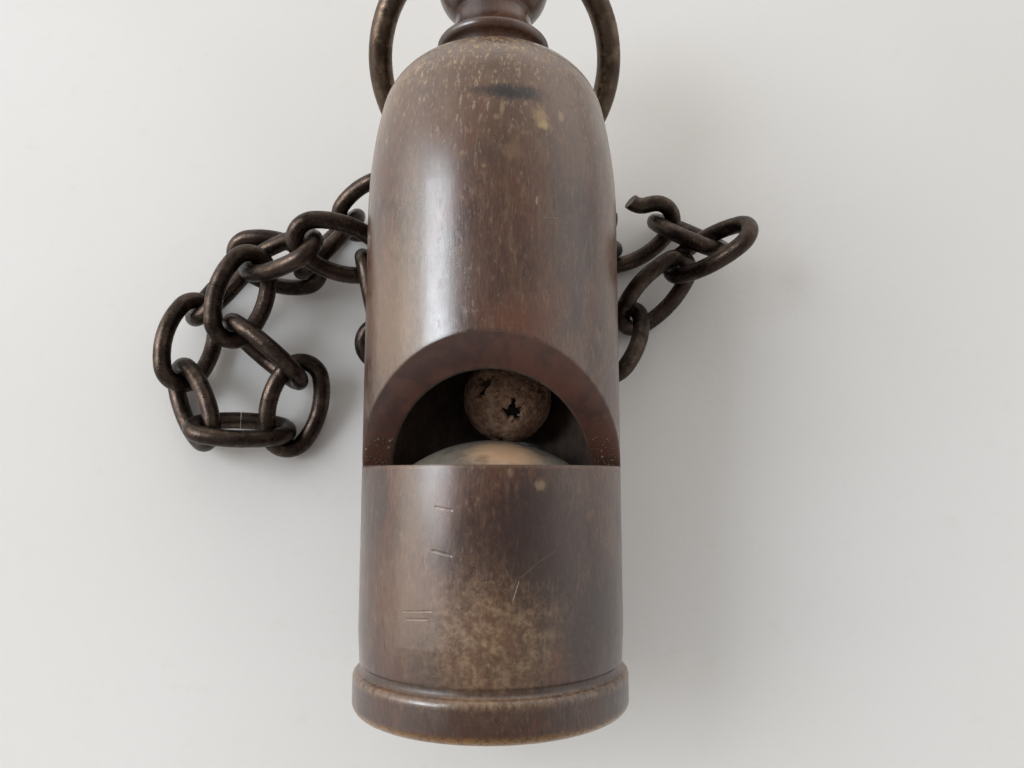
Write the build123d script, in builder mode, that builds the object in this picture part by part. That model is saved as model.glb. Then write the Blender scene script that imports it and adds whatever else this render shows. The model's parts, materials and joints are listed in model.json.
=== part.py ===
"""Turned pea whistle with a suspension ring and a link chain.

Millimetres, +Z up. The whistle lies window up. Its mouth rim touches the table and its
finial end is propped on the chain, so its axis climbs towards +Y.
"""
import math
import os

from build123d import *

# ---- how the whistle lies on the table
TILT = 9.5                 # climb of the whistle's axis towards the finial, degrees
MOUTH_X = 4.69             # whistle axis, sideways from the middle of the whole layout
MOUTH_Y = -39.04           # mouth end, along the layout
EDGE_ROUND = 0.8           # rounding of the mouth rim, which is what touches the table

# ---- turned body
BODY_R = 12.0
RIM_R = 12.4
RIM_LENGTH = 3.4
GROOVE_R = 11.7
WAIST_R = 11.85
BORE_R = 9.2
SILL_S = 21.2              # distance of the window's sill from the mouth end
BEVEL_FOOT_S = 20.0        # where the window's 45 degree bevel would reach the axis
WINDOW_RISE = 15.0         # height above the axis that the window's cut is drawn to
DOME_START_S = 45.0
DOME_END_S = 60.8
DOME_END_R = 5.2
CHAMBER_END_S = 55.0

# ---- finial
SPIGOT_R = 2.4
SPIGOT_LENGTH = 3.3
FLANGE_R = 5.6
NECK_R = 3.7
KNOB_R = 6.1
HOLE_S = 75.0              # cross hole for the ring
HOLE_R = 2.15
TIP_S = 81.0

# ---- fipple plug and pea
PLUG_DOME_R = 13.0
PLUG_DOME_S = 10.7         # centre of the plug's domed end
PLUG_FLAT = 7.2            # height of the windway floor above the axis
PEA_R = 4.5
PEA_S = 28.1
PEA_X = 1.45
PEA_DROP = 4.1             # pea centre below the axis

# ---- suspension ring
RING_R = 12.45             # to the middle of the wire
RING_WIRE_R = 1.27
RING_HANG = 11.8           # ring centre from the cross hole's centre
RING_ANGLE = 32.4          # how far the ring leans below the whistle's axis, degrees

# ---- chain link
WIRE_R = 0.95
LINK_LENGTH = 12.0
LINK_WIDTH = 7.5
END_ARC_R = 2.2            # to the middle of the wire
SEAM = 0.05                # butt seam left in every link
SPRUNG_LINK = 19           # the link whose seam has been pulled open
SPRUNG_HALF_GAP = 2.9
SPRUNG_TURN_R = 2.2        # its two wire ends are bent outwards on this radius
SPRUNG_TURN = 55.0
RING_HOOK_TURN = 46.0      # where the chain hangs on the ring, from the ring's lowest point

# Each link points at (x, y, z), measured from the table under the mouth end. The fourth
# value leans its flat face off level, in degrees. The last value is its play on the wire
# it hangs on.
ROUTE = (
    (-11.8, 56.4, 4.3, 57, 1.4),
    (-17.5, 53.5, 3.5, -40, 0.2),
    (-22, 47, 4.5, 55, 0.2),
    (-30, 48.5, 4.5, -40, 0.2),
    (-34.5, 42, 3, 45, 0.2),
    (-36, 34, 3.5, -45, 0.2),
    (-32, 27, 4, 45, 0.2),
    (-24, 27.5, 2.5, -55, 0.2),
    (-21.5, 34.5, 4.5, 25, 0.2),
    (-28.5, 38, 6, -80, 0.2),
    (-27, 46, 8.5, 45, 0.2),
    (-20, 45.5, 12, -25, 0.2),
    (-13.5, 46, 7.5, 40, 0.2),
    (-13.5, 39, 4, -95, 0.2),
    (-5.5, 40.5, 3.5, 25, 0.2),
    (0.5, 43.5, 3, -55, 0.2),
    (6.5, 47.5, 6, 35, 0.2),
    (13, 50.5, 2, -40, 0.2),
    (20, 53.5, 4, 35, 0.2),
    (25, 48, 7, -45, 0.2),
    (18.5, 46, 2.5, 35, 2.7),
    (16, 41, 2.5, -50, 0.2),
    (13, 34, 4.5, 40, 0.2),
)

os.makedirs("parts", exist_ok=True)


def unit(v):
    return v / v.length


def export(builder, label):
    builder.part.label = label
    export_step(builder.part, "parts/" + label + ".step")


# ---------------------------------------------------------------- whistle frame
tilt = math.radians(TILT)
along = Vector(0, math.cos(tilt), math.sin(tilt))
window_side = Vector(0, -math.sin(tilt), math.cos(tilt))
rim_touch_r = RIM_R - EDGE_ROUND
mouth_z = EDGE_ROUND + rim_touch_r * math.cos(tilt) - EDGE_ROUND * math.sin(tilt)
mouth = Vector(MOUTH_X, MOUTH_Y, mouth_z)
lathe_axis = Axis(mouth, along)
# sketches on this plane are drawn as (distance from the mouth, height above the axis)
lengthwise = Plane(origin=mouth, x_dir=along, z_dir=(1, 0, 0))
hole_centre = mouth + along * HOLE_S

# ---------------------------------------------------------------- body shell
with BuildPart() as body_shell:
    with BuildSketch(lengthwise):
        with BuildLine():
            Line((0, BORE_R), (0, RIM_R - EDGE_ROUND))
            RadiusArc((0, RIM_R - EDGE_ROUND), (EDGE_ROUND, RIM_R), EDGE_ROUND)
            Line((EDGE_ROUND, RIM_R), (RIM_LENGTH - 0.5, RIM_R))
            RadiusArc((RIM_LENGTH - 0.5, RIM_R), (RIM_LENGTH, RIM_R - 0.5), 0.5)
            Line((RIM_LENGTH, RIM_R - 0.5), (RIM_LENGTH + 0.2, GROOVE_R))
            Line((RIM_LENGTH + 0.2, GROOVE_R), (RIM_LENGTH + 0.6, GROOVE_R))
            Line((RIM_LENGTH + 0.6, GROOVE_R), (RIM_LENGTH + 0.8, WAIST_R))
            Line((RIM_LENGTH + 0.8, WAIST_R), (RIM_LENGTH + 3.4, BODY_R))
            Line((RIM_LENGTH + 3.4, BODY_R), (DOME_START_S, BODY_R))
            shoulder = ThreePointArc((DOME_START_S, BODY_R), (50.3, 11.697), (55.5, 10.8))
            TangentArc((55.5, 10.8), (DOME_END_S, DOME_END_R), tangent=shoulder % 1)
            Line((DOME_END_S, DOME_END_R), (DOME_END_S, SPIGOT_R))
            Line((DOME_END_S, SPIGOT_R), (DOME_END_S - SPIGOT_LENGTH, SPIGOT_R))
            Line((DOME_END_S - SPIGOT_LENGTH, SPIGOT_R), (DOME_END_S - SPIGOT_LENGTH, 0))
            Line((DOME_END_S - SPIGOT_LENGTH, 0), (CHAMBER_END_S + 0.4, 0))
            Line((CHAMBER_END_S + 0.4, 0), (CHAMBER_END_S, 3.0))
            ThreePointArc((CHAMBER_END_S, 3.0), (50.0, 7.72), (44.0, BORE_R))
            Line((44.0, BORE_R), (0, BORE_R))
        make_face()
    revolve(axis=lathe_axis)
    # the window: a square sill with a 45 degree bevel facing it
    with BuildSketch(lengthwise):
        with BuildLine():
            Line((SILL_S, SILL_S - BEVEL_FOOT_S), (SILL_S, WINDOW_RISE))
            Line((SILL_S, WINDOW_RISE), (BEVEL_FOOT_S + WINDOW_RISE, WINDOW_RISE))
            Line((BEVEL_FOOT_S + WINDOW_RISE, WINDOW_RISE), (SILL_S, SILL_S - BEVEL_FOOT_S))
        make_face()
    extrude(amount=14, both=True, mode=Mode.SUBTRACT)
export(body_shell, "body_shell")

# ---------------------------------------------------------------- finial
with BuildPart() as finial:
    with BuildSketch(lengthwise):
        with BuildLine():
            Line((DOME_END_S - SPIGOT_LENGTH, 0), (DOME_END_S - SPIGOT_LENGTH, SPIGOT_R))
            Line((DOME_END_S - SPIGOT_LENGTH, SPIGOT_R), (DOME_END_S, SPIGOT_R))
            Line((DOME_END_S, SPIGOT_R), (DOME_END_S, 4.9))
            ThreePointArc((DOME_END_S, 4.9), (61.5, 4.5), (62.3, 5.05))
            ThreePointArc((62.3, 5.05), (62.85, FLANGE_R), (63.4, 5.05))
            ThreePointArc((63.4, 5.05), (64.4, 4.2), (65.6, 3.85))
            Line((65.6, 3.85), (66.6, NECK_R))
            ThreePointArc((66.6, NECK_R), (67.1, 4.5), (68.2, 5.3))
            cushion = ThreePointArc((68.2, 5.3), (73.0, KNOB_R), (77.6, 5.2))
            TangentArc((77.6, 5.2), (TIP_S, 0), tangent=cushion % 1)
            Line((TIP_S, 0), (DOME_END_S - SPIGOT_LENGTH, 0))
        make_face()
    revolve(axis=lathe_axis)
    # cross hole, flared at both mouths so the bent wire can pass
    with BuildSketch(Plane(origin=hole_centre, x_dir=(1, 0, 0), z_dir=-window_side)):
        with BuildLine():
            Polyline((-7.5, 0), (-7.5, 4.2), (-6.2, 3.1))
            Line((-6.2, 3.1), (-3.0, HOLE_R))
            Line((-3.0, HOLE_R), (3.0, HOLE_R))
            Line((3.0, HOLE_R), (6.2, 3.1))
            Polyline((6.2, 3.1), (7.5, 4.2), (7.5, 0), (-7.5, 0))
        make_face()
    revolve(axis=Axis(hole_centre, (1, 0, 0)), mode=Mode.SUBTRACT)
export(finial, "finial")

# ---------------------------------------------------------------- fipple plug
plug_dome_starts = PLUG_DOME_S + math.sqrt(PLUG_DOME_R**2 - BORE_R**2)
with BuildPart() as fipple_plug:
    with BuildSketch(lengthwise):
        with BuildLine():
            Polyline((PLUG_DOME_S + PLUG_DOME_R, 0), (0, 0), (0, BORE_R), (plug_dome_starts, BORE_R))
            RadiusArc((plug_dome_starts, BORE_R), (PLUG_DOME_S + PLUG_DOME_R, 0), PLUG_DOME_R)
        make_face()
    revolve(axis=lathe_axis)
    # the flat is the floor of the windway
    with BuildSketch(lengthwise):
        with BuildLine():
            Polyline((-1, PLUG_FLAT), (26, PLUG_FLAT), (26, 11), (-1, 11), close=True)
        make_face()
    extrude(amount=12, both=True, mode=Mode.SUBTRACT)
export(fipple_plug, "fipple_plug")

# ---------------------------------------------------------------- pea
pea_centre = mouth + along * PEA_S - window_side * PEA_DROP + Vector(PEA_X, 0, 0)
with BuildPart() as pea:
    with BuildSketch(Plane(origin=pea_centre, x_dir=along, z_dir=(1, 0, 0))):
        with BuildLine():
            CenterArc((0, 0), PEA_R, 0, 180)
            Line((-PEA_R, 0), (PEA_R, 0))
        make_face()
    revolve(axis=Axis(pea_centre, along))
export(pea, "pea")

# ---------------------------------------------------------------- suspension ring
lean = math.radians(RING_ANGLE)
ring_down = -along * math.cos(lean) - window_side * math.sin(lean)
ring_centre = hole_centre + ring_down * RING_HANG
ring_normal = ring_down.cross(Vector(1, 0, 0))
with BuildPart() as suspension_ring:
    with BuildSketch(Plane(origin=ring_centre + ring_down * RING_R, x_dir=ring_down, z_dir=(1, 0, 0))):
        Circle(RING_WIRE_R)
    revolve(axis=Axis(ring_centre, ring_normal))
export(suspension_ring, "suspension_ring")


# ---------------------------------------------------------------- chain links
half_length = LINK_LENGTH / 2 - WIRE_R
half_width = LINK_WIDTH / 2 - WIRE_R
end_centre = half_length - END_ARC_R
side_r = (end_centre**2 + half_width**2 - END_ARC_R**2) / (2 * (half_width - END_ARC_R))
side_centre = side_r - half_width
end_sweep = math.atan2(side_centre, end_centre)
quarter = math.pi / 2


def wire_point(turn):
    """Point of a link's wire centre line whose outward direction is at this angle."""
    turn = math.atan2(math.sin(turn), math.cos(turn))
    if abs(turn) <= end_sweep:
        return end_centre + END_ARC_R * math.cos(turn), END_ARC_R * math.sin(turn)
    if abs(turn) >= math.pi - end_sweep:
        return -end_centre + END_ARC_R * math.cos(turn), END_ARC_R * math.sin(turn)
    side = math.copysign(side_centre, turn)
    return side_r * math.cos(turn), side_r * math.sin(turn) - side


def lay_link(hook, aim, slope_side, play):
    """Plane of a link that hangs on the wire at hook and points at aim."""
    heading = unit(aim - hook)
    right = unit(heading.cross(Vector(0, 0, 1)))
    upright = right.cross(heading)
    roll = math.radians(slope_side)
    normal = upright * math.cos(roll) + right * math.sin(roll)
    centre = hook + heading * (half_length - 2 * WIRE_R - play)
    return Plane(origin=centre, x_dir=heading, z_dir=normal)


def hook_on(link, aim):
    """Where the next wire hooks on this link, and the wire's direction there."""
    turn = 0.0
    for _ in range(8):
        u, v = wire_point(turn)
        hook = link.from_local_coords((u, v, 0))
        pull = unit(aim - hook)
        turn = math.atan2(pull.dot(link.y_dir), pull.dot(link.x_dir))
    u, v = wire_point(turn)
    hook = link.from_local_coords((u, v, 0))
    return hook, link.y_dir * math.cos(turn) - link.x_dir * math.sin(turn)


def bent_wire(link, centre, radius, start, stop):
    """One arc of a link: the wire's section turned about the arc's centre."""
    outward = link.x_dir * math.cos(start) + link.y_dir * math.sin(start)
    pivot = link.from_local_coords((centre[0], centre[1], 0))
    section = Plane(origin=pivot + outward * radius, x_dir=outward, z_dir=link.z_dir.cross(outward))
    with BuildSketch(section) as wire_section:
        Circle(WIRE_R)
    turn = math.degrees(stop - start)
    revolve(wire_section.sketch, axis=Axis(pivot, link.z_dir), revolution_arc=turn)


def oval_link(link):
    """A closed oval with a butt seam in the middle of one side."""
    half_seam = SEAM / 2 / side_r
    bent_wire(link, (end_centre, 0), END_ARC_R, -end_sweep, end_sweep)
    bent_wire(link, (0, -side_centre), side_r, end_sweep, quarter - half_seam)
    bent_wire(link, (0, -side_centre), side_r, quarter + half_seam, math.pi - end_sweep)
    bent_wire(link, (-end_centre, 0), END_ARC_R, math.pi - end_sweep, math.pi + end_sweep)
    bent_wire(link, (0, side_centre), side_r, math.pi + end_sweep, 2 * math.pi - end_sweep)


def sprung_link(link):
    """An oval whose seam side is pulled open, with both wire ends bent outwards."""
    half_gap = math.asin(SPRUNG_HALF_GAP / side_r)
    turn = math.radians(SPRUNG_TURN)
    pivot_u = (side_r + SPRUNG_TURN_R) * math.sin(half_gap)
    pivot_v = (side_r + SPRUNG_TURN_R) * math.cos(half_gap) - side_centre
    first = quarter - half_gap
    last = quarter + half_gap
    bent_wire(link, (end_centre, 0), END_ARC_R, -end_sweep, end_sweep)
    bent_wire(link, (0, -side_centre), side_r, end_sweep, first)
    bent_wire(link, (pivot_u, pivot_v), SPRUNG_TURN_R, first + math.pi - turn, first + math.pi)
    bent_wire(link, (-pivot_u, pivot_v), SPRUNG_TURN_R, last + math.pi, last + math.pi + turn)
    bent_wire(link, (0, -side_centre), side_r, last, math.pi - end_sweep)
    bent_wire(link, (-end_centre, 0), END_ARC_R, math.pi - end_sweep, math.pi + end_sweep)
    bent_wire(link, (0, side_centre), side_r, math.pi + end_sweep, 2 * math.pi - end_sweep)


ring_reach = math.radians(RING_HOOK_TURN)
ring_out = ring_down * math.cos(ring_reach) - Vector(1, 0, 0) * math.sin(ring_reach)
hook = ring_centre + ring_out * RING_R
hook_axis = ring_out.cross(ring_normal)
floor_mark = Vector(MOUTH_X, MOUTH_Y, 0)
chain_hooks = []
for number, (x, y, z, slope_side, play) in enumerate(ROUTE, start=1):
    aim = floor_mark + Vector(x, y, z)
    if number > 1:
        hook, hook_axis = hook_on(link_plane, aim)
    link_plane = lay_link(hook, aim, slope_side, play)
    chain_hooks.append((hook, hook_axis, link_plane))
    with BuildPart() as chain_link:
        if number == SPRUNG_LINK:
            sprung_link(link_plane)
        else:
            oval_link(link_plane)
    export(chain_link, f"chain_link_{number:02d}")
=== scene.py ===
"""Turned pea whistle on its chain: materials, cork pea, window dust, light and camera.

Lengths in the node trees and in the whistle frame are millimetres: x across the whistle,
s along its axis from the mouth end, h up from the axis towards the window.
"""
import json
import math
import random

import bmesh
import bpy
from mathutils import Matrix, Vector, noise


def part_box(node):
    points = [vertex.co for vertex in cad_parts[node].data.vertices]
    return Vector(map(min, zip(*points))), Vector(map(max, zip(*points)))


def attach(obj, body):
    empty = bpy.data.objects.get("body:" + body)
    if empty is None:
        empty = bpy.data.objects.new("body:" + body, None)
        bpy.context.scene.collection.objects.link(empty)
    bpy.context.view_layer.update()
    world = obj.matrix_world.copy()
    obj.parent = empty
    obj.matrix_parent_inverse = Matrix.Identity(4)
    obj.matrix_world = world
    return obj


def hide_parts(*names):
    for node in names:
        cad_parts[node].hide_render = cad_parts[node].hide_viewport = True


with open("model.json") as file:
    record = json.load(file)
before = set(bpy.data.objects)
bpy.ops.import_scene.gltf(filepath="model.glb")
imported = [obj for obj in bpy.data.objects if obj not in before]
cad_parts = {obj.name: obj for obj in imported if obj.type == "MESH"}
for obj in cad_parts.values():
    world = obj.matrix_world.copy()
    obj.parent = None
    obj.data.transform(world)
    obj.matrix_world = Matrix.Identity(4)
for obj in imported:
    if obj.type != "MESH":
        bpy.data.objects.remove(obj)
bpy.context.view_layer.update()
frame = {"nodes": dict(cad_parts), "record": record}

# ------------------------------------------------------------------ whistle frame
MM = 0.001                         # metres in a millimetre
mounts = {mount["name"]: mount for mount in frame["record"]["mounts"]}
mouth = Vector(mounts["mouth_end"]["pos_m"])
along = -Vector(mounts["mouth_end"]["axis"]).normalized()
across = Vector((1, 0, 0))
window_side = across.cross(along)
tilt = math.atan2(along.z, along.y)

# the whistle's own sizes, in the whistle frame
BODY_R = 12.0
BORE_R = 9.2
RIM_LENGTH = 3.4
SILL_S = 21.2                      # the window's sill
BEVEL_FOOT_S = 20.0                # where the window's 45 degree bevel would reach the axis
CHAMBER_END_S = 55.0


def whistle_point(x, s, h):
    return mouth + (across * x + along * s + window_side * h) * MM


def whistle_direction(x, s, h):
    return (across * x + along * s + window_side * h).normalized()


def srgb(red, green, blue):
    """Linear colour from 0-255 display values."""
    parts = []
    for value in (red, green, blue):
        v = value / 255
        parts.append(v / 12.92 if v <= 0.04045 else ((v + 0.055) / 1.055) ** 2.4)
    return (*parts, 1.0)


# ------------------------------------------------------------------ node tree helper
class Shade:
    """Builds one material's node tree. Values are numbers, tuples or sockets."""

    def __init__(self, name):
        self.material = bpy.data.materials.new(name)
        self.material.use_nodes = True
        self.tree = self.material.node_tree
        self.tree.nodes.clear()

    def node(self, kind, inputs, **settings):
        made = self.tree.nodes.new("ShaderNode" + kind)
        for key, value in settings.items():
            setattr(made, key, value)
        for key, value in inputs.items():
            if isinstance(value, bpy.types.NodeSocket):
                self.tree.links.new(value, made.inputs[key])
            else:
                made.inputs[key].default_value = value
        return made

    def object_mm(self, origin=Vector((0, 0, 0)), turn=0.0):
        """Object coordinates in mm from an origin, turned about X."""
        coords = self.node("TexCoord", {}).outputs["Object"]
        inputs = {
            "Vector": coords,
            "Location": origin,
            "Rotation": (turn, 0, 0),
            "Scale": (MM, MM, MM),
        }
        return self.node("Mapping", inputs, vector_type="TEXTURE").outputs[0]

    def whistle_mm(self):
        return self.object_mm(mouth, tilt)

    def place(self, vector, location, scale, turn=0.0):
        """The vector seen from a location, with lengths measured in scale."""
        inputs = {"Vector": vector, "Location": location, "Rotation": (0, 0, turn), "Scale": scale}
        return self.node("Mapping", inputs, vector_type="TEXTURE").outputs[0]

    def split(self, vector):
        return self.node("SeparateXYZ", {"Vector": vector}).outputs

    def join(self, x, y, z=0.0):
        return self.node("CombineXYZ", {"X": x, "Y": y, "Z": z}).outputs[0]

    def math(self, operation, a, b=0.0, c=0.0):
        inputs = {0: a, 1: b, 2: c}
        return self.node("Math", inputs, operation=operation).outputs[0]

    def times(self, *values):
        total = values[0]
        for value in values[1:]:
            total = self.math("MULTIPLY", total, value)
        return total

    def most(self, *values):
        total = values[0]
        for value in values[1:]:
            total = self.math("MAXIMUM", total, value)
        return total

    def length(self, vector):
        return self.node("VectorMath", {0: vector}, operation="LENGTH").outputs["Value"]

    def window(self, value, low, high, out_low=0.0, out_high=1.0):
        """Smooth step from low to high."""
        inputs = {"Value": value, "From Min": low, "From Max": high}
        inputs.update({"To Min": out_low, "To Max": out_high})
        return self.node("MapRange", inputs, interpolation_type="SMOOTHSTEP").outputs[0]

    def band(self, value, low, high, soft):
        """One between low and high, fading over soft on both sides."""
        rise = self.window(value, low - soft, low + soft)
        fall = self.window(value, high - soft, high + soft, 1.0, 0.0)
        return self.times(rise, fall)

    def noise(self, vector, scale, detail=4.0, rough=0.55, distortion=0.0):
        inputs = {"Vector": vector, "Scale": scale, "Detail": detail, "Roughness": rough}
        inputs["Distortion"] = distortion
        return self.node("TexNoise", inputs).outputs[0]

    def cells(self, vector, scale, feature="F1"):
        inputs = {"Vector": vector, "Scale": scale}
        return self.node("TexVoronoi", inputs, feature=feature).outputs["Distance"]

    def mix(self, factor, a, b, blend="MIX"):
        inputs = {0: factor, 6: a, 7: b}
        made = self.node("Mix", inputs, data_type="RGBA", blend_type=blend)
        return made.outputs[2]

    def blend_number(self, factor, a, b):
        return self.node("Mix", {0: factor, 2: a, 3: b}, data_type="FLOAT").outputs[0]

    def bump(self, height, distance_mm, strength=1.0, normal=None):
        inputs = {"Height": height, "Distance": distance_mm * MM, "Strength": strength}
        if normal is not None:
            inputs["Normal"] = normal
        return self.node("Bump", inputs).outputs[0]

    def surface(self, colour, rough, normal, **others):
        """Principled shader. Names of the other inputs have _ for a space."""
        inputs = {"Base Color": colour, "Roughness": rough, "Normal": normal}
        for key, value in others.items():
            inputs[key.replace("_", " ")] = value
        shader = self.node("BsdfPrincipled", inputs)
        self.node("OutputMaterial", {"Surface": shader.outputs[0]})
        return self.material


# ------------------------------------------------------------------ horn
HORN_DARK = srgb(58, 33, 25)
HORN_MID = srgb(98, 65, 47)
HORN_RED = srgb(104, 58, 38)
HORN_GREY = srgb(130, 102, 78)
HORN_PALE = srgb(178, 150, 114)
HORN_TAN = srgb(150, 126, 102)
HORN_WINE = srgb(44, 23, 19)
SOOT = srgb(24, 17, 18)
CHIP = srgb(176, 147, 100)
GOLD = srgb(150, 108, 50)
DUST = srgb(150, 138, 124)
SILL_TAN = srgb(112, 78, 52)
BEVEL_DARK = srgb(60, 31, 24)
BEVEL_RED = srgb(92, 50, 35)
BEVEL_DUSTY = srgb(96, 64, 45)
BORE_DARK_PAINTED_LIT = srgb(72, 57, 50)
BORE_PALE_PAINTED_LIT = srgb(104, 84, 70)
EDGE_WEAR = 0.4                    # the turned edges are worn round, mm

# marks on the window side: distance round the body, distance along it, half sizes,
# colour, strength and how far the edge fades
MARKS = (
    # painted warm light on the left flank, where the left wall lights the horn
    (-9.2, 34.0, 3.6, 9.0, HORN_TAN, 0.42, 0.6),
    (4.6, 15.6, 6.8, 5.6, HORN_WINE, 0.8, 0.45),
    (9.5, 8.0, 3.6, 6.0, HORN_WINE, 0.6, 0.5),
    (1.8, 52.7, 2.6, 0.72, SOOT, 0.92, 0.5),
    (3.4, 52.7, 1.9, 0.72, SOOT, 0.75, 0.5),
    (-0.4, 52.8, 2.4, 0.45, SOOT, 0.4, 0.6),
    (4.6, 50.5, 0.78, 0.95, CHIP, 0.55, 0.45),
    (4.9, 49.9, 0.5, 0.45, CHIP, 0.8, 0.4),
    (6.7, 51.1, 0.34, 0.55, HORN_PALE, 0.5, 0.4),
    (0.6, 50.2, 0.3, 0.26, HORN_PALE, 0.3, 0.6),
    (1.1, 51.0, 0.2, 0.8, HORN_PALE, 0.4, 0.5),
    (-6.9, 52.9, 0.12, 0.12, HORN_PALE, 0.8, 0.3),
    (2.7, 45.3, 0.12, 0.2, HORN_PALE, 0.3, 0.6),
    (4.05, 43.0, 0.12, 0.45, HORN_PALE, 0.6, 0.3),
    (-2.3, 47.0, 0.16, 0.2, HORN_PALE, 0.3, 0.6),
    (-0.4, 45.8, 0.2, 0.16, HORN_PALE, 0.3, 0.6),
    (1.9, 47.2, 1.1, 0.8, HORN_GREY, 0.45, 0.5),
    (1.75, 20.6, 0.3, 0.4, HORN_TAN, 0.4, 0.4),
    (4.3, 19.6, 0.5, 0.5, HORN_TAN, 0.6, 0.4),
    (2.6, 33.0, 2.6, 1.5, HORN_RED, 0.55, 0.8),
    (-5.2, 17.0, 2.4, 3.6, HORN_GREY, 0.35, 0.6),
    (-6.0, 9.0, 3.2, 4.6, HORN_TAN, 0.22, 0.7),
)
# scratches: both ends and half width
SCRATCHES = (
    (-4.4, 17.9, -2.7, 17.6, 0.16),
    (-4.6, 14.5, -2.7, 14.1, 0.17),
    (-7.4, 9.6, -4.3, 9.85, 0.1),
    (-7.0, 9.05, -4.7, 9.2, 0.12),
    (5.8, 14.6, 3.9, 13.5, 0.07),
    (3.9, 13.5, 2.5, 12.4, 0.07),
    (2.5, 12.4, 1.9, 10.6, 0.07),
    (4.7, 41.7, 6.3, 41.9, 0.09),
    (5.3, 40.2, 5.5, 44.5, 0.06),
    (-7.9, 38.0, -8.1, 44.0, 0.07),
    (8.0, 42.6, 8.7, 42.2, 0.08),
    (-1.5, 26.0, -1.2, 31.0, 0.06),
)


class Horn(Shade):
    """Dark polished horn with axial fibres, pale rubbed mottling and dirt.

    Each method lays one more layer over the colour so far.
    """

    def __init__(self, name):
        super().__init__(name)
        self.p = self.whistle_mm()
        self.x, self.s, self.h = self.split(self.p)
        self.patch_space = self.place(self.p, (3, 0, 1), (1, 2.2, 1))
        self.cloud = self.noise(self.patch_space, 0.16, 5, 0.6)
        self.warm = self.noise(self.patch_space, 0.33, 4, 0.6, 0.6)
        self.mottle = self.noise(self.place(self.p, (0, 5, 0), (1, 1.5, 1)), 0.75, 9, 0.74, 0.3)

        fibre_space = self.place(self.p, (0, 0, 0), (1, 7, 1))
        fibre = self.noise(fibre_space, 1.9, 6, 0.7)
        fine = self.noise(fibre_space, 6.0, 3, 0.6)
        colour = self.mix(self.window(self.cloud, 0.36, 0.62), HORN_DARK, HORN_MID)
        red = self.times(self.window(self.warm, 0.5, 0.68), 0.55)
        colour = self.mix(red, colour, HORN_RED)
        colour = self.mix(self.times(self.window(fibre, 0.50, 0.72), 0.42), colour, HORN_GREY)
        colour = self.mix(self.times(self.window(fine, 0.62, 0.38), 0.35), colour, SOOT)
        self.pale = self.times(self.window(self.mottle, 0.52, 0.66), 0.30)
        self.colour = self.mix(self.pale, colour, HORN_GREY)
        self.height = self.math("MULTIPLY_ADD", fibre, 0.35, self.times(fine, 0.2))
        self.unpolished = 0.0

    def lay(self, amount, tint):
        self.colour = self.mix(amount, self.colour, tint)

    def add_shell_layers(self):
        """What only the body shows: rubbed patches, marks, scratches, edges and cut faces."""
        self.radius = self.length(self.join(self.x, self.h))
        around = self.times(self.math("ARCTAN2", self.x, self.h), BODY_R)
        self.skin = self.join(around, self.s)
        self.ragged = self.noise(self.p, 2.2, 5, 0.65)
        self.fibrous = self.noise(self.place(self.p, (1, 0, 2), (1, 2.4, 1)), 2.6, 6, 0.72)
        self.wobble = self.times(self.math("SUBTRACT", self.fibrous, 0.5), 2.2)
        self.rub_patches()
        self.add_marks()
        self.add_scratches()
        self.wear_and_highlight_edges()
        self.dull_cut_faces()
        self.height = self.math("SUBTRACT", self.height, self.times(self.cuts, 1.2))
        self.height = self.math("SUBTRACT", self.height, self.times(self.pale, 0.5))

    def rub_patches(self):
        """The dome and a patch near the mouth are rubbed down to paler horn."""
        crest = self.window(self.s, 52.0, 57.5)
        fleck_noise = self.noise(self.place(self.p, (9, 0, 4), (1, 3.2, 1)), 2.7, 8, 0.8)
        flecks = self.window(self.math("MULTIPLY_ADD", crest, 0.045, fleck_noise), 0.53, 0.65)
        dome = self.window(self.s, 43.0, 54.5)
        centre_distance = self.length(self.place(self.skin, (0.4, 8.0, 0), (7.2, 7.6, 1)))
        patch = self.window(centre_distance, 1.15, 0.3)
        speckle = self.window(self.noise(self.p, 1.3, 10, 0.78, 0.2), 0.42, 0.68)
        dome_pale = self.times(flecks, dome, 0.8)
        patch_pale = self.times(speckle, patch, 0.5)
        self.pale = self.most(dome_pale, patch_pale, self.times(flecks, 0.2))
        self.lay(self.times(dome, 0.32), HORN_GREY)
        self.lay(self.times(patch, 0.30), HORN_GREY)
        self.lay(self.pale, HORN_PALE)

    def add_marks(self):
        for u, v, half_u, half_v, tint, strength, fade in MARKS:
            seen = self.length(self.place(self.skin, (u, v, 0), (half_u, half_v, 1)))
            ragged_edge = self.math("ADD", seen, self.wobble)
            spot = self.window(ragged_edge, 0.85 + fade, 0.85 - fade)
            self.lay(self.times(spot, strength), tint)

    def add_scratches(self):
        cuts = []
        for u0, v0, u1, v1, half_width in SCRATCHES:
            half_run = math.hypot(u1 - u0, v1 - v0) / 2
            angle = math.atan2(v1 - v0, u1 - u0)
            middle = ((u0 + u1) / 2, (v0 + v1) / 2, 0)
            line = self.place(self.skin, middle, (half_run, half_width, 1), angle)
            lengthways, sideways, _ = self.split(line)
            sideways = self.math("ADD", sideways, self.times(self.wobble, 0.6))
            cuts.append(self.times(
                self.window(self.math("ABSOLUTE", sideways), 1.0, 0.2),
                self.window(self.math("ABSOLUTE", lengthways), 1.0, 0.7),
            ))
        self.cuts = self.most(*cuts)
        hairs = self.noise(self.place(self.skin, (0, 0, 0), (2.6, 0.16, 1)), 0.9, 2, 0.5)
        nicks = self.noise(self.place(self.skin, (4, 2, 0), (0.16, 2.4, 1)), 0.8, 2, 0.5)
        hairline = self.most(
            self.times(self.cuts, 0.6),
            self.times(self.window(hairs, 0.70, 0.76), 0.5),
            self.times(self.window(nicks, 0.70, 0.76), 0.5),
        )
        self.lay(self.times(hairline, 0.26), HORN_TAN)

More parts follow.
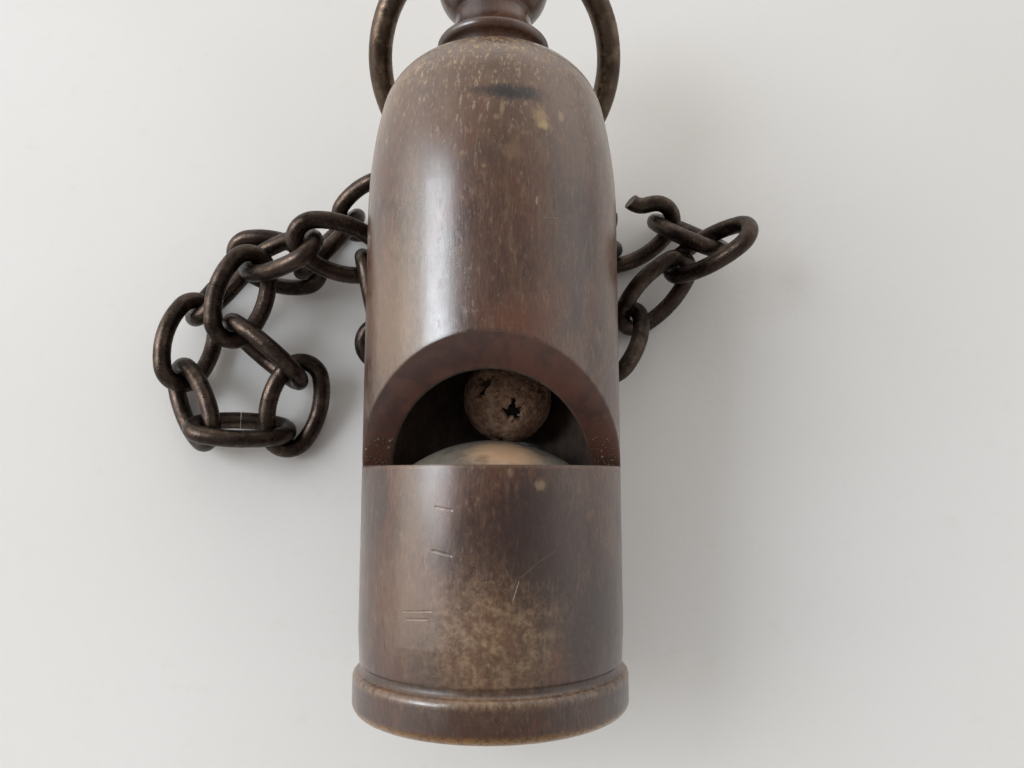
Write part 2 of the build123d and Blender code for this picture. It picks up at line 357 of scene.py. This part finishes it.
    def wear_and_highlight_edges(self):
        rim = self.window(self.s, RIM_LENGTH - 0.1, RIM_LENGTH - 0.5)
        self.lay(self.times(rim, self.window(self.cloud, 0.30, 0.60), 0.55), HORN_WINE)
        mouth_edge = self.times(self.window(self.s, 1.0, 0.3), self.window(self.ragged, 0.32, 0.58))
        self.lay(self.times(mouth_edge, 0.9), GOLD)
        # the rim's lip: paler rubbed horn, partly a painted highlight along the edge
        rim_lip = self.band(self.s, RIM_LENGTH - 0.65, RIM_LENGTH + 0.1, 0.25)
        self.lay(self.times(rim_lip, self.window(self.fibrous, 0.35, 0.65), 0.32), HORN_PALE)
        groove = self.band(self.s, RIM_LENGTH + 0.1, RIM_LENGTH + 0.7, 0.15)
        groove = self.times(groove, self.window(self.radius, BODY_R + 0.1, BODY_R - 0.1))
        self.lay(self.times(groove, 0.35), SOOT)
        sill_edge = self.band(self.s, SILL_S - 0.3, SILL_S, 0.1)
        self.lay(self.times(sill_edge, self.window(self.ragged, 0.3, 0.6), 0.45), SILL_TAN)

    def dull_cut_faces(self):
        """The cut faces of the window are unpolished, and the bore is sooty, its tone lightened as
        painted fill light where little light reaches.
        """
        above = self.math("SUBTRACT", self.math("SUBTRACT", self.s, BEVEL_FOOT_S), self.h)
        bevel = self.times(
            self.window(self.math("ABSOLUTE", above), 0.14, 0.06),
            self.window(self.radius, BODY_R - 0.03, BODY_R - 0.15),
            self.window(self.h, -0.4, 0.0),
        )
        tone = self.mix(self.window(self.warm, 0.35, 0.7), BEVEL_DARK, BEVEL_RED)
        tone = self.mix(self.times(self.window(self.h, 6.2, 1.4), 0.4), tone, BEVEL_DUSTY)
        tone = self.mix(self.times(self.window(self.mottle, 0.5, 0.64), 0.3), tone, HORN_MID)
        self.lay(bevel, tone)
        grit = self.window(self.noise(self.p, 4.5, 4, 0.7), 0.60, 0.70)
        specks = self.times(grit, self.window(self.h, 4.4, 1.4), bevel)
        self.lay(self.times(specks, 0.5), DUST)
        # the bore: sooty tone made lighter, a painted fill light for its shade
        bore = self.times(
            self.window(self.radius, BORE_R + 0.3, BORE_R + 0.05),
            self.window(self.s, CHAMBER_END_S + 0.6, CHAMBER_END_S + 0.2),
        )
        self.lay(bore, self.mix(self.window(self.mottle, 0.4, 0.7), BORE_DARK_PAINTED_LIT, BORE_PALE_PAINTED_LIT))
        self.unpolished = self.most(bevel, bore)

    def finished(self):
        edge = self.node("Bevel", {"Radius": EDGE_WEAR * MM}, samples=6).outputs[0]
        broad = self.noise(self.patch_space, 0.12, 2, 0.5)
        rough = self.window(self.noise(self.patch_space, 0.5, 5, 0.65), 0.3, 0.7, 0.25, 0.36)
        rough = self.math("MULTIPLY_ADD", self.pale, 0.35, rough)
        rough = self.blend_number(self.unpolished, rough, 0.62)
        normal = self.bump(self.height, 0.03, 0.8, self.bump(broad, 0.35, 0.8, edge))
        gloss = {"IOR": 1.56, "Coat_Weight": 0.5, "Coat_Roughness": 0.24}
        return self.surface(self.colour, rough, normal, **gloss)


def horn(name, is_shell):
    layers = Horn(name)
    if is_shell:
        layers.add_shell_layers()
    return layers.finished()


# ------------------------------------------------------------------ other materials
PLUG_DARK = srgb(122, 110, 98)
PLUG_PALE = srgb(160, 148, 132)
PLUG_PAINTED_HIGHLIGHT = srgb(232, 190, 152)
PLUG_GREY = srgb(120, 117, 110)
PLUG_STAIN = srgb(84, 66, 54)
CORK_DARK = srgb(138, 101, 82)
CORK_PALE = srgb(206, 169, 141)
CORK_FLECK_DARK = srgb(64, 38, 30)
CORK_FLECK_PALE = srgb(205, 176, 150)
CORK_PORE = srgb(38, 24, 20)
CORK_HOLE_SHADE = srgb(12, 8, 8)
BRASS = srgb(146, 126, 100)
RUST = srgb(58, 36, 24)
MILL_SCALE = srgb(24, 18, 15)


def plug_horn():
    """Lighter horn of the plug: a painted amber highlight in the middle, greyed and dusty to its
    edge.
    """
    m = Shade("plug_horn")
    p = m.whistle_mm()
    grain = m.noise(m.place(p, (0, 0, 0), (1, 4, 1)), 1.3, 6, 0.65)
    cloud = m.noise(p, 0.35, 4, 0.6)
    colour = m.mix(m.window(grain, 0.35, 0.68), PLUG_DARK, PLUG_PALE)
    centre = m.length(m.place(p, (1.2, 21.5, 5.5), (4.2, 9, 3.6)))
    # painted highlight: amber laid over the plug's middle, where light falls through the window
    colour = m.mix(m.times(m.window(centre, 1.0, 0.3), 0.75), colour, PLUG_PAINTED_HIGHLIGHT)
    grey = m.window(centre, 0.7, 1.2)
    colour = m.mix(m.times(grey, 0.75), colour, PLUG_GREY)
    dusty = m.times(m.window(m.noise(p, 3.2, 6, 0.7), 0.52, 0.66), grey)
    colour = m.mix(m.times(dusty, 0.6), colour, DUST)
    colour = m.mix(m.times(m.window(cloud, 0.55, 0.75), 0.5), colour, PLUG_STAIN)
    rough = m.window(cloud, 0.3, 0.7, 0.34, 0.5)
    normal = m.bump(grain, 0.04, 0.8, m.bump(m.noise(p, 5.0, 4, 0.6), 0.02))
    return m.surface(colour, rough, normal, IOR=1.54)


def cork():
    """Old cork: brown, with pores, and painted shade, near black, deep in its holes."""
    m = Shade("cork")
    low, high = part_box("pea")
    centre = (low + high) / 2
    p = m.object_mm(centre)
    depth = m.length(p)
    grain = m.noise(p, 0.9, 8, 0.7)
    pores = m.window(m.cells(m.place(p, (0, 0, 0), (1, 1.6, 1)), 1.5), 0.16, 0.06)
    pores = m.times(pores, m.window(m.noise(p, 0.8, 3, 0.5), 0.42, 0.58))
    fleck = m.noise(m.place(p, (2, 2, 2), (1, 3, 1)), 3.4, 5, 0.7)
    colour = m.mix(m.window(grain, 0.34, 0.66), CORK_DARK, CORK_PALE)
    colour = m.mix(m.times(m.window(fleck, 0.56, 0.70), 0.7), colour, CORK_FLECK_DARK)
    colour = m.mix(m.times(m.window(fleck, 0.45, 0.34), 0.5), colour, CORK_FLECK_PALE)
    colour = m.mix(m.times(pores, 0.85), colour, CORK_PORE)
    # painted shade: near black where the surface lies deep in a hole
    colour = m.mix(m.window(depth, 3.95, 3.72), colour, CORK_HOLE_SHADE)
    height = m.math("SUBTRACT", m.times(grain, 0.6), m.times(pores, 0.8))
    normal = m.bump(m.math("ADD", height, m.times(fleck, 0.4)), 0.12)
    return m.surface(colour, m.window(grain, 0.3, 0.7, 0.72, 0.9), normal, IOR=1.45)


def iron(name, dark, light, rust_amount, brass_amount, grain_scale):
    """Oxidised dark iron wire, rubbed bright in random brassy patches."""
    m = Shade(name)
    p = m.object_mm()
    cloud = m.noise(p, 0.22 * grain_scale, 5, 0.6)
    patches = m.noise(p, 0.75 * grain_scale, 7, 0.68, 0.4)
    grit = m.noise(p, 5.5, 5, 0.65)
    drawn = m.noise(m.place(p, (0, 0, 0), (1, 1, 3)), 2.4, 4, 0.6)
    colour = m.mix(m.window(cloud, 0.34, 0.66), dark, light)
    brass = m.times(m.window(patches, 0.50, 0.66), brass_amount)
    colour = m.mix(brass, colour, BRASS)
    rust = m.times(m.window(patches, 0.47, 0.34), rust_amount)
    colour = m.mix(rust, colour, RUST)
    colour = m.mix(m.times(m.window(grit, 0.42, 0.30), 0.6), colour, MILL_SCALE)
    metal = m.window(rust, 0.65, 0.0, 0.35, 0.92)
    rough = m.window(drawn, 0.3, 0.7, 0.25, 0.42)
    rough = m.math("MULTIPLY_ADD", rust, 0.35, rough)
    height = m.math("MULTIPLY_ADD", patches, 0.8, m.times(grit, 0.35))
    normal = m.bump(height, 0.07, 0.8)
    return m.surface(colour, rough, normal, IOR=1.5, Metallic=metal)


def grains():
    """Grey-brown crumbs of dust."""
    m = Shade("dust_grains")
    p = m.object_mm()
    tone = m.noise(p, 2.6, 5, 0.7)
    colour = m.mix(m.window(tone, 0.36, 0.62), srgb(44, 34, 28), srgb(140, 128, 112))
    normal = m.bump(m.noise(p, 9.0, 4, 0.7), 0.05)
    return m.surface(colour, m.window(tone, 0.3, 0.7, 0.6, 0.9), normal, IOR=1.5)


def paper():
    """White paper with a faint pulp and tooth."""
    m = Shade("paper")
    p = m.object_mm()
    cloud = m.noise(p, 0.010, 3, 0.5)
    pulp = m.noise(p, 0.35, 7, 0.65)
    tooth = m.noise(p, 3.5, 5, 0.6)
    colour = m.mix(m.window(cloud, 0.3, 0.7), srgb(238, 236, 233), srgb(244, 244, 243))
    colour = m.mix(m.times(m.window(pulp, 0.55, 0.75), 0.25), colour, srgb(232, 229, 224))
    normal = m.bump(pulp, 0.10, 0.5, m.bump(tooth, 0.03, 0.5))
    return m.surface(colour, m.window(tooth, 0.3, 0.7, 0.75, 0.9), normal, IOR=1.45)


def dress(node, material):
    """Gives a carried-over node its material."""
    data = frame["nodes"][node].data
    data.materials.clear()
    data.materials.append(material)
    for face in data.polygons:
        face.material_index = 0


dress("body_shell", horn("body_horn", True))
dress("finial", horn("finial_horn", False))
dress("fipple_plug", plug_horn())
dress("suspension_ring", iron("ring_iron", srgb(66, 54, 46), srgb(98, 84, 72), 0.5, 0.35, 1.0))
chain_iron = iron("chain_iron", srgb(44, 36, 32), srgb(74, 62, 55), 0.55, 0.15, 1.4)
chain_nodes = sorted(n for n in frame["nodes"] if n.startswith("chain_link_"))
for node in chain_nodes:
    dress(node, chain_iron)


def piece(name, verts, faces, material, body):
    """A smooth mesh object that rides on a body."""
    mesh = bpy.data.meshes.new(name)
    mesh.from_pydata([tuple(v) for v in verts], [], faces)
    mesh.update()
    mesh.materials.append(material)
    obj = bpy.data.objects.new(name, mesh)
    bpy.context.scene.collection.objects.link(obj)
    for face in mesh.polygons:
        face.use_smooth = True
    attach(obj, body)
    return obj


# ------------------------------------------------------------------ cork pea
def ball(levels):
    """Vertices and faces of a unit ball made from a subdivided icosahedron."""
    bm = bmesh.new()
    bmesh.ops.create_icosphere(bm, subdivisions=levels, radius=1.0)
    verts = [v.co.copy() for v in bm.verts]
    faces = [[v.index for v in f.verts] for f in bm.faces]
    bm.free()
    return verts, faces


PEA_SKIN = 0.10                    # how far the cork's skin lies inside the CAD ball, mm
HOLE_WALL = 0.035                  # width of a hole's steep wall, radians
# ragged holes in the cork: direction (x, s, h), angular radius, depth in mm
HOLES = (
    ((0.14, -0.40, 0.91), 0.20, 0.9),
    ((0.24, -0.36, 0.90), 0.12, 0.7),
    ((-0.60, 0.10, 0.79), 0.15, 0.8),
    ((-0.52, 0.28, 0.80), 0.16, 0.7),
    ((-0.45, 0.42, 0.79), 0.12, 0.6),
    ((0.75, 0.10, 0.60), 0.13, 0.6),
    ((0.10, 0.75, 0.60), 0.16, 0.7),
    ((-0.2, -0.85, 0.2), 0.15, 0.6),
    ((0.5, 0.3, -0.8), 0.18, 0.7),
    ((-0.6, -0.2, -0.7), 0.16, 0.7),
)
pea_low, pea_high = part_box("pea")
pea_centre = (pea_low + pea_high) / 2
pea_r = (pea_high - pea_low).x / 2
ball_verts, ball_faces = ball(7)
pea_verts = []
for v in ball_verts:
    lump = noise.fractal(v * 2.2, 0.9, 2.0, 4) * 0.07
    pit = noise.fractal(v * 9.0 + Vector((5, 1, 3)), 0.8, 2.1, 4)
    sink = PEA_SKIN + max(0.0, -lump) + max(0.0, pit - 0.25) * 0.35
    for direction, size, depth in HOLES:
        d = whistle_direction(*direction)
        reach = math.acos(max(-1.0, min(1.0, v.dot(d))))
        if reach > size * 2.5:
            continue
        edge = size * (1.0 + 1.1 * noise.fractal(v * 6.5 + Vector(direction) * 3, 0.6, 2.2, 4))
        t = max(0.0, min(1.0, (edge - reach) / HOLE_WALL))
        sink = max(sink, depth * t * t * (3 - 2 * t))
    pea_verts.append(pea_centre + v * (pea_r - sink * MM))
cork_pea = piece("cork_pea", pea_verts, ball_faces, cork(), "pea")
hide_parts("pea")

# ------------------------------------------------------------------ dust in the window
GRAINS_PER_SIDE = 110
DRIFT_HEIGHT = 2.6                 # how far up the bevel the dust reaches, mm
GRAIN_SETBACK = 0.03               # a grain's centre stands this far off the bevel towards the mouth
GRAIN_LIFT = 0.02                  # and this far above it, mm
FINE_SHARE = 0.85
FINE_SIZES = (0.02, 0.055)         # radius, mm
COARSE_SIZES = (0.06, 0.12)
rng = random.Random(7)
grain_ball, grain_faces = ball(2)
dust_verts = []
dust_faces = []


def add_grain(where, size):
    """One uneven grain, size mm in radius."""
    first = len(dust_verts)
    seed = Vector((rng.uniform(0, 50), rng.uniform(0, 50), rng.uniform(0, 50)))
    stretch = Vector((rng.uniform(0.6, 1.5), rng.uniform(0.6, 1.5), rng.uniform(0.5, 1.0)))
    for v in grain_ball:
        k = size * (1 + 0.5 * noise.noise(v * 1.6 + seed))
        dust_verts.append(where + v * stretch * k * MM)
    dust_faces.extend([[i + first for i in f] for f in grain_faces])


for side in (-1, 1):
    for count in range(GRAINS_PER_SIDE):
        climb = SILL_S - BEVEL_FOOT_S + GRAIN_SETBACK + DRIFT_HEIGHT * rng.random() ** 2.4
        outer = math.sqrt((BODY_R - 0.3) ** 2 - climb**2)
        inner = math.sqrt((BORE_R + 0.2) ** 2 - climb**2)
        x = side * rng.uniform(inner, outer)
        sizes = FINE_SIZES if rng.random() < FINE_SHARE else COARSE_SIZES
        where = whistle_point(x, BEVEL_FOOT_S + climb - GRAIN_SETBACK, climb + GRAIN_LIFT)
        add_grain(where, rng.uniform(*sizes))
window_dust = piece("window_dust", dust_verts, dust_faces, grains(), "whistle")

# ------------------------------------------------------------------ floor, light, camera
FLOOR_HALF = 0.9                   # metres
floor_corners = [
    (-FLOOR_HALF, -FLOOR_HALF, 0),
    (FLOOR_HALF, -FLOOR_HALF, 0),
    (FLOOR_HALF, FLOOR_HALF, 0),
    (-FLOOR_HALF, FLOOR_HALF, 0),
]
floor_mesh = bpy.data.meshes.new("paper_floor")
floor_mesh.from_pydata(floor_corners, [], [(0, 1, 2, 3)])
floor_mesh.materials.append(paper())
floor = bpy.data.objects.new("paper_floor", floor_mesh)
bpy.context.scene.collection.objects.link(floor)

target = whistle_point(0, 30, 0)


def panel(name, direction, distance, width, height, radiance, colour):
    """A soft rectangular light that faces the whistle."""
    data = bpy.data.lights.new(name, "AREA")
    data.shape = "RECTANGLE"
    data.size = width
    data.size_y = height
    data.energy = radiance * math.pi * width * height
    data.color = colour
    obj = bpy.data.objects.new(name, data)
    way = Vector(direction).normalized()
    obj.location = target + way * distance
    obj.rotation_euler = way.to_track_quat("Z", "Y").to_euler()
    bpy.context.scene.collection.objects.link(obj)
    return obj


WINDOW_WAY = (-0.71, 0.09, 0.70)
WALL_WAY = (-0.93, 0.12, 0.35)
DAYLIGHT = (0.86, 0.93, 1.0)
WARM_WALL = (1.0, 0.90, 0.78)
panel("window_light", WINDOW_WAY, 0.70, 0.32, 0.30, 5.2, DAYLIGHT)
# the same window again, only as it mirrors in the polish
glint = panel("window_glint", WINDOW_WAY, 0.69, 0.32, 0.26, 9.5, DAYLIGHT)
glint.visible_diffuse = False
panel("left_wall", WALL_WAY, 1.20, 0.90, 0.50, 2.4, WARM_WALL)

# the room: pale walls round a table, darker overhead and where one stands to look down
world = bpy.data.worlds.new("room")
world.use_nodes = True
sky = world.node_tree


def sky_ramp(value, low, high, out_low, out_high):
    """Smooth step from out_low to out_high."""
    made = sky.nodes.new("ShaderNodeMapRange")
    made.interpolation_type = "SMOOTHSTEP"
    sky.links.new(value, made.inputs["Value"])
    limits = {"From Min": low, "From Max": high, "To Min": out_low, "To Max": out_high}
    for key, limit in limits.items():
        made.inputs[key].default_value = limit
    return made.outputs[0]


def sky_product(a, b):
    made = sky.nodes.new("ShaderNodeMath")
    made.operation = "MULTIPLY"
    sky.links.new(a, made.inputs[0])
    sky.links.new(b, made.inputs[1])
    return made.outputs[0]


way = sky.nodes.new("ShaderNodeTexCoord").outputs["Generated"]
parts = sky.nodes.new("ShaderNodeSeparateXYZ")
sky.links.new(way, parts.inputs[0])
by_height = sky_ramp(parts.outputs["Z"], 0.40, 0.95, 1.14, 0.36)
by_depth = sky_ramp(parts.outputs["Y"], -0.8, 0.4, 0.40, 1.12)
room_light = sky_product(by_height, by_depth)
background = sky.nodes["Background"]
background.inputs["Color"].default_value = (1.0, 0.975, 0.945, 1)
sky.links.new(room_light, background.inputs["Strength"])
bpy.context.scene.world = world
bpy.context.scene.view_settings.view_transform = "Standard"

LENS_MM = 27.07
SENSOR_MM = 36.0
EYE = (1.9, 20.0, 72.9)            # whistle frame, mm
NOD = math.radians(7.1)            # the view leans this far towards the finial
camera_data = bpy.data.cameras.new("camera")
camera_data.lens = LENS_MM
camera_data.sensor_width = SENSOR_MM
camera_data.clip_start = 0.005
camera_data.clip_end = 10
camera = bpy.data.objects.new("camera", camera_data)
bpy.context.scene.collection.objects.link(camera)
look = along * math.sin(NOD) - window_side * math.cos(NOD)
up = across.cross(look)
turn = Matrix((across, up, -look)).transposed()
camera.matrix_world = Matrix.Translation(whistle_point(*EYE)) @ turn.to_4x4()
bpy.context.scene.camera = camera
